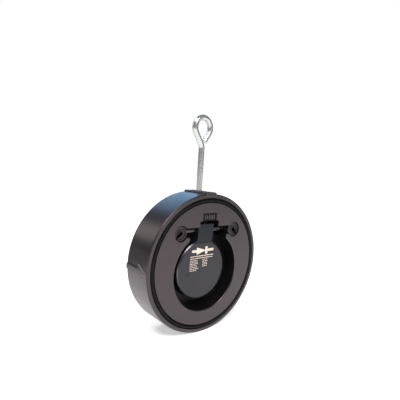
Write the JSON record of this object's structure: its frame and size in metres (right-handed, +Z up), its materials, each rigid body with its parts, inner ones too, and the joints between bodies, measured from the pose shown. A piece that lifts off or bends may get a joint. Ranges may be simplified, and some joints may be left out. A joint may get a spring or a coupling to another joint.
{
  "type": "wafer swing check valve",
  "caption": "Plastic wafer check valve: flat ring body with an off-centre pocket, a top-hinged swing disc held by split plugs, face seals and a wire lifting eye.",
  "frame": {"origin": "centre of the ring, on the pipe axis, half way between its two faces", "axes": "+Z up towards the lifting eye, -Y out of the outlet face, +Y out of the inlet face, +X to the right seen from the outlet"},
  "size_m": [0.1454, 0.0366, 0.2212],
  "materials": {
    "body_plastic": "satin dark grey moulded PVC",
    "disc_plastic": "satin near-black moulded PVC",
    "plug_plastic": "satin dark grey moulded plastic",
    "seal_rubber": "smooth black EPDM",
    "shaft_metal": "ground stainless steel",
    "zinc_steel": "bright zinc-plated steel wire",
    "insert_brass": "turned brass"
  },
  "bodies": {
    "valve_body": {"body": "body_plastic", "front_face_seal": "seal_rubber", "rear_face_seal": "seal_rubber", "hinge_plug_left": "plug_plastic", "hinge_plug_right": "plug_plastic", "threaded_insert": "insert_brass", "eye_bolt": "zinc_steel"},
    "flap": {"disc": "disc_plastic", "disc_seal": "seal_rubber", "hinge_shaft": "shaft_metal", "hinge_sleeve_left": "plug_plastic", "hinge_sleeve_right": "plug_plastic"}
  },
  "joints": [
    {"name": "flap_swing", "type": "hinge", "parent": "valve_body", "child": "flap", "pos_m": [0, -0.006, 0.0343], "axis": [-1, 0, 0], "range_deg": [0, 70]}
  ]
}
